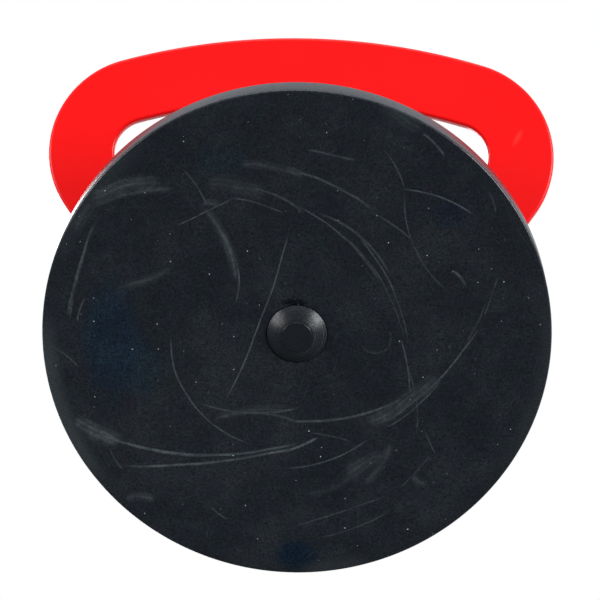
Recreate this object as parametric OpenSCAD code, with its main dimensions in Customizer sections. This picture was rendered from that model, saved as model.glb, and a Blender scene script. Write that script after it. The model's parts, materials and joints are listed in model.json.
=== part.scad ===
// Light practice curling stone: a black running disc under a low weighted shell,
// with a wide flat carrying loop that swings over from one side to the other.
// Origin: centre of the running face, +Z up. The loop leans towards +Y.

/* [Running disc] */
// Diameter of the running disc
disc_d = 200; // [180:1:240]
// Height of the disc's rim
disc_t = 13; // [12:0.5:14]
// Rounding of the disc's lower edge
disc_edge_r = 2; // [1:0.25:3]
// Width of the flat band that touches the ice
running_band_w = 4.5; // [3:0.5:12]
// Depth of the shallow hollow inside the running band
dish_h = 4.6; // [4.4:0.1:5.4]

/* [Body] */
// Height of the shell's flat top above the ice
shell_top_z = 44; // [42:1:48]
// Radius of the shell's shoulder
shoulder_r = 16; // [12:1:18]
// Radius of the flat top
shell_flat_r = 77; // [76.5:0.25:78]
// Wall of the shell
shell_wall = 3.2; // [2.5:0.1:4]
// Thickness of the steel ballast
ballast_t = 10; // [6:0.5:10]

/* [Handle] */
// Lean of the loop above the level, as it stands
handle_lean = 30; // [0:1:110]
// Width of the loop's flat band
band_w = 27; // [22:0.1:28]
// Thickness of the loop
band_t = 5.5; // [4.5:0.1:6]
// Reach of the loop from its pivots
crown_v = 108.8; // [106:0.2:110]
// Radius of the slightly bowed grip
crown_r = 266; // [255:1:275]
// Outer radius of the loop's corners
corner_r = 40.7; // [38:0.1:42]
// How far the corners turn past square towards the pivots
corner_turn = 35; // [33:0.5:36]

/* [Hinges] */
// Height of the pivot axis above the shell's top
axis_h = 11; // [11:0.5:13]
// Distance of each lug's middle from the stone's middle
lug_x = 55; // [54:0.5:56]
// Radius of the shoulder bolt
pin_r = 3; // [2.75:0.05:3.05]
// Running clearance of the bolt in its bushes
pin_gap = 0.05; // [0.02:0.01:0.08]

/* [Hidden] */
$fn = 96;

disc_r = disc_d / 2;
gap = 0.3;

// disc
pocket_r = 86;
pocket_z = disc_t - 3;
dish_r = disc_r - disc_edge_r - running_band_w;
dish_sphere_r = (dish_r * dish_r + dish_h * dish_h) / (2 * dish_h);
hub_r = 20;
bolt_r = 4;
bolt_hole_r = 4.25;
cap_seat_r = 12;
cap_seat_z = dish_h + 1;
cap_bore_r = 10;
head_seat_z = 12.5;

// centre fasteners
cap_tip_z = 0.6;
cap_tip_r = 6.4;
cap_root_r = 11.7;
cap_flank_slope = 0.45;
cap_flank_curve = 0.05;
seat_chamfer = [0.6, 0.4];
washer_t = 1.6;
head_t = 4.5;
hex_13_r = 13 / sqrt(3);
bolt_top_z = shell_top_z + 3;
nut_recess_r = 14;
nut_recess_z = shell_top_z - 8;
top_washer_t = 2;
nut_t = 7.5;

// ballast
packing_t = 1.5;
ballast_z = pocket_z + packing_t;
ballast_top_z = ballast_z + ballast_t;
ballast_r = 84;

// shell
skirt_z = disc_t + gap;
flange_t = 3;
lip_r = 85.7;
lip_wall = 1.1;
skirt_taper = 12.6;
shoulder_z = shell_top_z - shoulder_r;
skirt_x = shell_flat_r + shoulder_r * cos(skirt_taper);
skirt_tan_z = shoulder_z + shoulder_r * sin(skirt_taper);
skirt_foot_r = skirt_x + (skirt_tan_z - skirt_z) * tan(skirt_taper);
hub_post_r = 17;
insert_y = 16.5;
insert_r = 3.5;
insert_l = 9;
insert_boss_r = 6.5;
bumper_xy = [66, 28.5];
bumper_r = 4.5;
bumper_stem_r = 2.5;

// hinges
axis_z = shell_top_z + axis_h;
bracket_t = 2.5;
lug_l = 15;
lug_r = 7.5;
lug_in = lug_x - lug_l / 2;
lug_out = lug_x + lug_l / 2;
bush_flange_t = 1;
bush_flange_r = 6.2;
bush_r = 4.5;
bush_bore_r = pin_r + pin_gap;
cheek_in = lug_in - bush_flange_t - gap;
wave_t = 1.2;
cheek_out = lug_out + bush_flange_t + gap + wave_t;
cheek_r = 8;
bracket_in = cheek_in - bracket_t;
bracket_out = cheek_out + bracket_t;
bracket_len = 23;
thread_r = 2.5;
pivot_washer_t = 1;
pivot_nut_t = 5;

// loop outline: the crown is centred on the axis of symmetry, the corners touch it
crown_c = crown_v - crown_r;
corner_reach = crown_r - corner_r;
corner_x = 63.5;
corner_v = crown_c + sqrt(corner_reach * corner_reach - corner_x * corner_x);
crown_half = asin(corner_x / corner_reach);
inner_corner_r = corner_r - band_w;
end_r = band_w / 2;
mid_corner_r = corner_r - end_r;
arm_dir = [-sin(corner_turn), -cos(corner_turn)];
arm_out = [cos(corner_turn), -sin(corner_turn)];
corner_c = [corner_x, corner_v];
arm_start = corner_c + mid_corner_r * arm_out;
end_v = 23.5;
arm_end = arm_start + arm_dir * (arm_start[1] - end_v) / cos(corner_turn);
end_turn = 78;

// a wedge with its point at the origin, from angle a to angle b, wide enough to cut radius r
function wedge(a, b, r) = concat([[0, 0]], [
    for (k = [0 : 4]) 1.2 * r * [cos(a + (b - a) * k / 4), sin(a + (b - a) * k / 4)]
]);

function arc(c, r, a, b, n) = [
    for (k = [0 : n]) c + r * [cos(a + (b - a) * k / n), sin(a + (b - a) * k / n)]
];

// flat loop: crown, corners and straight arms, each arm ending in a tang for its lug
module loop_2d() {
    side = 90 - crown_half;
    inner_start = corner_c + inner_corner_r * arm_out;
    inner_foot_v = inner_start[1] - (inner_start[0] - lug_in) / tan(corner_turn);
    half = concat(
        arc([0, crown_c], crown_r, 90, side, 8),
        arc(corner_c, corner_r, side - 4, -corner_turn, 26),
        arc(arm_end, end_r, -corner_turn, -corner_turn - end_turn, 12),
        [
            [lug_out, cheek_r + 1.8],
            [lug_out, 0],
            [lug_in, 0],
            [lug_in, inner_foot_v]
        ],
        arc(corner_c, inner_corner_r, -corner_turn, side - 6, 18),
        arc([0, crown_c], crown_r - band_w, side, 90, 8)
    );
    polygon(concat(half, [
        for (k = [len(half) - 2 : -1 : 1]) [-half[k][0], half[k][1]]
    ]));
}

module both_sides() {
    children();
    mirror([1, 0, 0]) children();
}

// children are drawn along +X at the pivot axis
module on_axis(x = 0) {
    translate([x, 0, axis_z]) rotate([0, 90, 0]) children();
}

module tube(r_out, r_in, l) {
    difference() {
        cylinder(r = r_out, h = l);
        translate([0, 0, -1]) cylinder(r = r_in, h = l + 2);
    }
}

module hex_nut(corner, r_in, l) {
    difference() {
        cylinder(r = corner, h = l, $fn = 6);
        translate([0, 0, -1]) cylinder(r = r_in, h = l + 2);
    }
}

module running_disc() {
    color("#22272c")
        rotate_extrude($fn = 240)
            difference() {
                union() {
                    translate([0, disc_edge_r]) square([disc_r, disc_t - disc_edge_r]);
                    square([disc_r - disc_edge_r, disc_t]);
                    translate([disc_r - disc_edge_r, disc_edge_r]) circle(r = disc_edge_r);
                    square([hub_r, ballast_top_z]);
                }
                translate([0, dish_h - dish_sphere_r]) circle(r = dish_sphere_r, $fn = 720);
                translate([hub_r, pocket_z]) square([pocket_r - hub_r, disc_t]);
                square([bolt_hole_r, 2 * ballast_top_z]);
                square([cap_bore_r, head_seat_z]);
                square([cap_seat_r, cap_seat_z]);
                polygon([
                    [cap_seat_r - 1, dish_h - 1],
                    [cap_seat_r - 1, dish_h - 0.1 + seat_chamfer[1]],
                    [cap_seat_r, dish_h - 0.1 + seat_chamfer[1]],
                    [cap_seat_r + seat_chamfer[0], dish_h - 0.1]
                ]);
            }
}

// blunt cone that steepens outwards, with a hollow skirt that snaps round the bolt's head
module centre_cap() {
    flange_r = cap_seat_r - 0.1;
    skirt_r = cap_bore_r - 0.1;
    foot_z = cap_tip_z + 0.3;
    steps = 8;
    color("#1d2126")
        rotate_extrude()
            union() {
                polygon(concat(
                    [[0, cap_tip_z], [cap_tip_r - 0.45, cap_tip_z], [cap_tip_r - 0.25, foot_z]],
                    [
                        for (k = [0 : steps])
                            let (s = (cap_root_r - cap_tip_r) * k / steps)
                                [
                                    cap_tip_r + s,
                                    foot_z + cap_flank_slope * s + cap_flank_curve * s * s
                                ]
                    ],
                    [[flange_r, dish_h + 0.3], [flange_r, cap_seat_z], [0, cap_seat_z]]
                ));
                translate([skirt_r - 1.2, cap_seat_z - 0.5]) square([1.2, 4.5]);
            }
}

module centre_bolt() {
    head_z = head_seat_z - washer_t - head_t;
    color("#b4b7ba")
        union() {
            translate([0, 0, head_z]) cylinder(r = hex_13_r, h = head_t, $fn = 6);
            translate([0, 0, head_z + 1]) cylinder(r = bolt_r, h = bolt_top_z - head_z - 1);
        }
}

module bolt_washer() {
    color("#c3c6c9")
        translate([0, 0, head_seat_z - washer_t]) tube(9, bolt_hole_r, washer_t);
}

module packing_ring() {
    color("#4a4a4a")
        translate([0, 0, pocket_z]) tube(80, 30, packing_t);
}

module ballast_plate() {
    color("#6d6f70")
        translate([0, 0, ballast_z]) tube(ballast_r, hub_r + 0.6, ballast_t);
}

module seal_ring() {
    color("#2b2b2b")
        translate([0, 0, disc_t]) tube(94, 90, 1.1);
}

module shell_profile(inset) {
    r = shoulder_r - inset;
    x = shell_flat_r + r * cos(skirt_taper);
    z = shoulder_z + r * sin(skirt_taper);
    polygon([
        [0, skirt_z],
        [x + (z - skirt_z) * tan(skirt_taper), skirt_z],
        [x, z],
        [shell_flat_r, shoulder_z],
        [shell_flat_r, shell_top_z - inset],
        [0, shell_top_z - inset]
    ]);
    translate([shell_flat_r, shoulder_z])
        intersection() {
            circle(r = r);
            polygon(wedge(skirt_taper, 90, r));
        }
}

module top_shell() {
    color("#202429")
        difference() {
            union() {
                rotate_extrude($fn = 240)
                    union() {
                        difference() {
                            shell_profile(0);
                            shell_profile(shell_wall);
                        }
                        translate([lip_r - lip_wall, skirt_z])
                            square([skirt_foot_r - lip_r - 1, flange_t]);
                        translate([lip_r - lip_wall, pocket_z + 0.5])
                            square([lip_wall, disc_t - pocket_z]);
                        translate([0, ballast_top_z])
                            square([hub_post_r, shell_top_z - ballast_top_z]);
                    }
                insert_places(shell_top_z - insert_l - 3)
                    cylinder(r = insert_boss_r, h = insert_l + 1);
            }
            translate([0, 0, disc_t]) tube(94.2, 89.8, 1.1);
            translate([0, 0, ballast_top_z - 1]) cylinder(r = bolt_hole_r, h = shell_top_z);
            translate([0, 0, nut_recess_z]) cylinder(r = nut_recess_r, h = 20);
            insert_places(shell_top_z - insert_l) cylinder(r = insert_r, h = insert_l + 1);
            bumper_places(shell_top_z - 2 * shell_wall)
                cylinder(r = bumper_stem_r, h = 4 * shell_wall);
        }
}

module insert_places(z) {
    for (x = [-lug_x, lug_x], y = [-insert_y, insert_y])
        translate([x, y, z]) children();
}

module bumper_places(z) {
    for (x = [-1, 1], y = [-1, 1])
        translate([x * bumper_xy[0], y * bumper_xy[1], z]) children();
}

module top_washer() {
    color("#c3c6c9")
        translate([0, 0, nut_recess_z]) tube(12, bolt_hole_r, top_washer_t);
}

module top_nut() {
    color("#b4b7ba")
        translate([0, 0, nut_recess_z + top_washer_t]) hex_nut(hex_13_r, bolt_r, nut_t);
}

// low domed cap that snaps into the nut's recess
module top_cap() {
    rim_r = nut_recess_r + 5;
    dome_h = 5.5;
    dome_r = (rim_r * rim_r + dome_h * dome_h) / (2 * dome_h);
    skirt_r = nut_recess_r - 0.1;
    color("#d3211f")
        rotate_extrude()
            difference() {
                union() {
                    translate([0, shell_top_z])
                        intersection() {
                            translate([0, dome_h - dome_r + 1]) circle(r = dome_r, $fn = 360);
                            square([rim_r, dome_h + 1]);
                        }
                    translate([0, shell_top_z - 4]) square([skirt_r, 5]);
                }
                translate([0, shell_top_z - 5]) square([skirt_r - 1.6, 8.4]);
            }
}

module thread_inserts() {
    color("#b9974b")
        insert_places(shell_top_z - insert_l)
            tube(insert_r, thread_r, insert_l);
}

module bracket_screws() {
    color("#b9bcbf")
        insert_places(shell_top_z + bracket_t)
            difference() {
                union() {
                    cylinder(r = 4.6, h = 1.6);
                    cylinder(r1 = 4.6, r2 = 3.4, h = 2.8);
                    translate([0, 0, -9]) cylinder(r = thread_r, h = 9.5);
                }
                translate([0, 0, 1.2]) cylinder(r = 1.75, h = 4, $fn = 6);
            }
}

module cheek(x) {
    difference() {
        translate([x, 0, 0])
            rotate([90, 0, 90])
                linear_extrude(bracket_t)
                    union() {
                        polygon([
                            [-11, shell_top_z],
                            [11, shell_top_z],
                            [6.5, axis_z + 4],
                            [-6.5, axis_z + 4]
                        ]);
                        translate([0, axis_z]) circle(r = cheek_r);
                    }
        on_axis(x - 1) cylinder(r = bush_bore_r, h = bracket_t + 2);
    }
}

module bracket() {
    c = 3;
    x0 = bracket_in;
    x1 = bracket_out;
    y1 = bracket_len;
    color("#a9adb0")
        difference() {
            union() {
                translate([0, 0, shell_top_z])
                    linear_extrude(bracket_t)
                        polygon([
                            [x0 + c, -y1], [x1 - c, -y1], [x1, -y1 + c], [x1, y1 - c],
                            [x1 - c, y1], [x0 + c, y1], [x0, y1 - c], [x0, -y1 + c]
                        ]);
                cheek(bracket_in);
                cheek(cheek_out);
            }
            insert_places(shell_top_z - 1) cylinder(r = thread_r + 0.2, h = 2 * bracket_t);
        }
}

module right_bracket() {
    bracket();
}

module left_bracket() {
    mirror([1, 0, 0]) bracket();
}

// button head outside, plain shoulder through both cheeks, threaded tail inside
module pivot_bolt() {
    head_t = 3.2;
    head_r = 6;
    tail_x = bracket_in - pivot_washer_t - pivot_nut_t - 1;
    color("#b9bcbf")
        difference() {
            union() {
                on_axis(tail_x) cylinder(r = thread_r, h = bracket_in - tail_x + 1);
                on_axis(bracket_in) cylinder(r = pin_r, h = bracket_out - bracket_in + 1);
                on_axis(bracket_out) cylinder(r = head_r, h = 1.4);
                on_axis(bracket_out + 1.4) cylinder(r1 = head_r, r2 = 4.2, h = head_t - 1.4);
            }
            on_axis(bracket_out + 1.2) cylinder(r = 2.3, h = 4, $fn = 6);
        }
}

module right_pivot_bolt() {
    pivot_bolt();
}

module left_pivot_bolt() {
    mirror([1, 0, 0]) pivot_bolt();
}

module pivot_washer() {
    color("#c3c6c9")
        on_axis(bracket_in - pivot_washer_t) tube(5.5, thread_r + 0.1, pivot_washer_t);
}

module right_pivot_washer() {
    pivot_washer();
}

module left_pivot_washer() {
    mirror([1, 0, 0]) pivot_washer();
}

module pivot_nut() {
    color("#b4b7ba")
        on_axis(bracket_in - pivot_washer_t - pivot_nut_t)
            hex_nut(8 / sqrt(3), thread_r, pivot_nut_t);
}

module right_pivot_nut() {
    pivot_nut();
}

module left_pivot_nut() {
    mirror([1, 0, 0]) pivot_nut();
}

module wave_washer() {
    color("#8e9194")
        on_axis(cheek_out - wave_t) tube(bush_flange_r - 0.2, pin_r + 0.3, wave_t);
}

module right_wave_washer() {
    wave_washer();
}

module left_wave_washer() {
    mirror([1, 0, 0]) wave_washer();
}

module bushes() {
    sleeve_l = lug_l / 2 - 0.2;
    color("#e8e6df")
        union() {
            on_axis(lug_in) tube(bush_r, bush_bore_r, sleeve_l);
            on_axis(lug_in - bush_flange_t) tube(bush_flange_r, bush_bore_r, bush_flange_t);
            on_axis(lug_out - sleeve_l) tube(bush_r, bush_bore_r, sleeve_l);
            on_axis(lug_out) tube(bush_flange_r, bush_bore_r, bush_flange_t);
        }
}

module right_bushes() {
    bushes();
}

module left_bushes() {
    mirror([1, 0, 0]) bushes();
}

// rubber buttons that the folded loop lies on, with stems pushed through the shell
module handle_bumpers() {
    top_z = axis_z - band_t / 2 - gap;
    color("#33363a")
        bumper_places(0)
            rotate_extrude($fn = 48)
                polygon([
                    [0, shell_top_z - shell_wall - 2],
                    [bumper_stem_r, shell_top_z - shell_wall - 2],
                    [bumper_stem_r, shell_top_z],
                    [bumper_r, shell_top_z],
                    [bumper_r, top_z - 1],
                    [bumper_r - 1, top_z],
                    [0, top_z]
                ]);
}

// flat loop drawn in the pivot plane, then leaned back about the pivot axis
module handle() {
    color("#fe1f1f")
        translate([0, 0, axis_z])
            rotate([handle_lean, 0, 0])
                difference() {
                    union() {
                        translate([0, 0, -band_t / 2])
                            linear_extrude(band_t) loop_2d();
                        both_sides()
                            translate([lug_in, 0, 0])
                                rotate([0, 90, 0])
                                    cylinder(r = lug_r, h = lug_l);
                    }
                    both_sides()
                        translate([lug_in - 1, 0, 0])
                            rotate([0, 90, 0])
                                cylinder(r = bush_r, h = lug_l + 2);
                }
}

running_disc();
centre_cap();
centre_bolt();
bolt_washer();
packing_ring();
ballast_plate();
seal_ring();
top_shell();
top_washer();
top_nut();
top_cap();
thread_inserts();
bracket_screws();
left_bracket();
right_bracket();
left_pivot_bolt();
right_pivot_bolt();
left_pivot_washer();
right_pivot_washer();
left_pivot_nut();
right_pivot_nut();
left_wave_washer();
right_wave_washer();
left_bushes();
right_bushes();
handle_bumpers();
handle();
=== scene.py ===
import json
import math

import bmesh
import bpy
from mathutils import Matrix, Vector


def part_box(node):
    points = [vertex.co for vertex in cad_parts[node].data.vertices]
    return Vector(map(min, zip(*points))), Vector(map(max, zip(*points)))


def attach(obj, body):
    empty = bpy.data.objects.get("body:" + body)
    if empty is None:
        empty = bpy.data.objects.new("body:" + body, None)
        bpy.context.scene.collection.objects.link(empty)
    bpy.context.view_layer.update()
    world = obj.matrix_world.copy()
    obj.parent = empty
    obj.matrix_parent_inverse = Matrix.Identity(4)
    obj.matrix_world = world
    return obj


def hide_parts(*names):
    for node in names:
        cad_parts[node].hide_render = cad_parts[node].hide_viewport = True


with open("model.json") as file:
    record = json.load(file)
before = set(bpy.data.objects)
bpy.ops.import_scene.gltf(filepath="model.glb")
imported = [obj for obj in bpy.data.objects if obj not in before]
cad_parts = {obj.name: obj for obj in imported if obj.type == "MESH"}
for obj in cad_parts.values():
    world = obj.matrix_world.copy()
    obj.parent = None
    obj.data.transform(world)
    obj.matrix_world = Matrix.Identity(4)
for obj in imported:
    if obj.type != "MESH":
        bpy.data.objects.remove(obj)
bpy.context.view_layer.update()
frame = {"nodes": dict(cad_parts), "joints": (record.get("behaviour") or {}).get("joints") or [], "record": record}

MM = 0.001

# ---------------------------------------------------------------- sizes, in mm, as the CAD has them
DISC_LO, DISC_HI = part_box("running_disc")
DISC_R = DISC_HI.x / MM
DISC_T = 13.0
DISC_EDGE = 2.0
BAND_W = 4.5
DISH_R, DISH_H = DISC_R - DISC_EDGE - BAND_W, 4.6
POCKET_R, POCKET_Z = 86.0, 10.0
HUB_R, HUB_TOP = 20.0, DISC_HI.z / MM
BOLT_HOLE_R = 4.25
CAP_SEAT_R, CAP_SEAT_Z = 12.0, 5.6
CAP_BORE_R, HEAD_SEAT_Z = 10.0, 12.5
CAP_TIP_Z, CAP_TIP_R, CAP_ROOT_R = 0.6, 6.4, 11.7
TIP_STEP = 0.3
FLANK_SLOPE, FLANK_CURVE = 0.45, 0.05
CAP_FIT, CAP_SKIRT_H, CAP_SKIRT_WALL = 0.1, 4.0, 1.2
SEAT_CHAMFER_R, SEAT_CHAMFER_Z = 12.35, 4.75

SHELL_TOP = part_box("top_shell")[1].z / MM
SHELL_FLAT_R, SHOULDER_R, SHELL_WALL = 77.0, 16.0, 3.2
SKIRT_TAPER = math.radians(12.6)
SKIRT_Z = DISC_T + 0.3
LIP_R, LIP_WALL, LIP_H = 85.7, 1.1, 3.0
HUB_POST_R = 17.0
NUT_RECESS_R, NUT_RECESS_DEPTH = 14.0, 8.0
DOME_LAP, DOME_H, DOME_EDGE = 5.0, 5.5, 1.0
DOME_SKIRT_H, DOME_SKIRT_WALL, DOME_HOLLOW = 4.0, 1.6, 3.4

AXIS_Z = frame["joints"][0]["pos_m"][2] / MM
LEAN = math.radians(30.0)
BAND, PLATE_T, PLATE_EDGE = 27.0, 5.5, 1.3
CROWN_V, CROWN_R, CORNER_R = 108.8, 266.0, 40.7
CORNER_X, CORNER_TURN = 63.5, math.radians(35.0)
LUG_IN, LUG_OUT, LUG_R = 47.5, 62.5, 7.5
TANG_V, CHEEK_R, END_V, END_TURN = 5.4, 8.0, 23.5, math.radians(78.0)
BUSH_R, BUSH_BORE, BUSH_FLANGE_R, BUSH_FLANGE_T = 4.5, 3.05, 6.2, 1.0
PIN_R, THREAD_R = 3.0, 2.5
BRACKET_T, BRACKET_LEN = 2.5, 23.0
GAP, WAVE_T = 0.3, 1.2
CHEEK_IN = LUG_IN - BUSH_FLANGE_T - GAP
CHEEK_OUT = LUG_OUT + BUSH_FLANGE_T + GAP + WAVE_T
BRACKET_IN, BRACKET_OUT = CHEEK_IN - BRACKET_T, CHEEK_OUT + BRACKET_T
WASHER_R, WASHER_T = 5.5, 1.0
NUT_FLAT, NUT_T, NUT_COLLAR = 4.0, 5.0, 1.2
PITCH, THREAD_DEPTH = 0.8, 0.35
SCREW_X, SCREW_Y, SCREW_LEN = 55.0, 16.5, 9.0
BUMPER_X, BUMPER_Y, BUMPER_R, BUMPER_STEM_R = 66.0, 28.5, 4.5, 2.5


# ---------------------------------------------------------------- mesh helpers
def spin(profile, steps=96, closed=False):
    """Vertices and faces of a profile of (radius, height) turned about Z.

    A radius may be a function of the angle.
    """
    verts, faces, rings = [], [], []
    for r, h in profile:
        if not callable(r) and r < 1e-6:
            rings.append([len(verts)] * steps)
            verts.append((0.0, 0.0, h))
            continue
        rings.append(list(range(len(verts), len(verts) + steps)))
        for k in range(steps):
            a = 2 * math.pi * k / steps
            rr = r(a) if callable(r) else r
            verts.append((rr * math.cos(a), rr * math.sin(a), h))
    pairs = list(zip(rings, rings[1:])) + ([(rings[-1], rings[0])] if closed else [])
    for lower, upper in pairs:
        for k in range(steps):
            n = (k + 1) % steps
            face = [lower[k], lower[n], upper[n], upper[k]]
            face = [v for i, v in enumerate(face) if v not in face[:i]]
            if len(face) > 2:
                faces.append(face)
    return verts, faces


def rounded(points, radii, steps=5, closed=True):
    """The polygon's points with an arc at each corner, of its radius as far as its sides allow."""
    out, n = [], len(points)
    for i, p in enumerate(points):
        r = radii[i] if isinstance(radii, (list, tuple)) else radii
        if r <= 0 or (not closed and i in (0, n - 1)):
            out.append(tuple(p))
            continue
        b = Vector(p)
        a, c = Vector(points[i - 1]) - b, Vector(points[(i + 1) % n]) - b
        half = a.angle(c) / 2
        if half > math.radians(88.5):
            out.append(tuple(p))
            continue
        reach = min(r / math.tan(half), a.length * 0.48, c.length * 0.48)
        r = reach * math.tan(half)
        centre = b + (a.normalized() + c.normalized()).normalized() * (r / math.sin(half))
        start, end = b + a.normalized() * reach - centre, b + c.normalized() * reach - centre
        a0 = math.atan2(start.y, start.x)
        turn = (math.atan2(end.y, end.x) - a0 + math.pi) % (2 * math.pi) - math.pi
        for k in range(steps + 1):
            t = a0 + turn * k / steps
            out.append((centre.x + r * math.cos(t), centre.y + r * math.sin(t)))
    return out


def arc(cx, cy, r, a, b, n):
    """Points of the arc about (cx, cy) from angle a to angle b, in n steps."""
    return [
        (cx + r * math.cos(a + (b - a) * k / n), cy + r * math.sin(a + (b - a) * k / n))
        for k in range(n + 1)
    ]


def inset(outline, d):
    """The counter-clockwise outline moved inwards by d, with mitred corners."""
    out, n = [], len(outline)
    for i in range(n):
        a, b, c = (Vector(outline[j % n]) for j in (i - 1, i, i + 1))
        e, f = (b - a).normalized(), (c - b).normalized()
        n1, n2 = Vector((e.y, -e.x)), Vector((f.y, -f.x))
        m = (n1 + n2) / max(1 + n1.dot(n2), 0.3)
        out.append((b.x - m.x * d, b.y - m.y * d))
    return out


def plate(outline, t, edge, steps=5, land=0.5):
    """Vertices and faces of a flat plate, centred on z = 0, with its edges rounded."""
    levels = [(edge + land, t / 2)]
    for k in range(steps + 1):
        a = math.pi / 2 * (1 - k / steps)
        levels.append((edge * (1 - math.cos(a)), t / 2 - edge * (1 - math.sin(a))))
    levels += [(d, -w) for d, w in reversed(levels)]
    n = len(outline)
    verts = [(x, y, w) for d, w in levels for x, y in inset(outline, d)]
    faces = [list(range(n)), list(range(len(verts) - 1, len(verts) - n - 1, -1))]
    for i in range(len(levels) - 1):
        for k in range(n):
            m = (k + 1) % n
            faces.append([i * n + k, (i + 1) * n + k, (i + 1) * n + m, i * n + m])
    return verts, faces


def moved(solid, matrix):
    verts, faces = solid
    return [tuple(matrix @ Vector(v)) for v in verts], faces


def mirrored(solid):
    verts, faces = solid
    return [(-x, y, z) for x, y, z in verts], [list(reversed(f)) for f in faces]


def lying(x=0.0, z=AXIS_Z):
    """Turns a solid spun about Z to lie along +X on the pivot axis, from x."""
    return Matrix.Translation((x, 0, z)) @ Matrix.Rotation(math.pi / 2, 4, "Y")


def piece(name, solids, material, body, replaces, sharp=35.0):
    """One object in metres from solids in mm, riding on a body and standing for CAD nodes."""
    verts, faces = [], []
    for v, f in solids:
        base = len(verts)
        verts += [(x * MM, y * MM, z * MM) for x, y, z in v]
        faces += [[i + base for i in face] for face in f]
    mesh = bpy.data.meshes.new(name)
    mesh.from_pydata(verts, [], faces)
    bm = bmesh.new()
    bm.from_mesh(mesh)
    bmesh.ops.remove_doubles(bm, verts=bm.verts, dist=1e-7)
    bmesh.ops.recalc_face_normals(bm, faces=bm.faces)
    bm.to_mesh(mesh)
    bm.free()
    mesh.shade_smooth()
    mesh.set_sharp_from_angle(angle=math.radians(sharp))
    mesh.materials.append(material)
    obj = bpy.data.objects.new(name, mesh)
    bpy.context.scene.collection.objects.link(obj)
    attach(obj, body)
    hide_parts(*replaces)
    return obj


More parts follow.
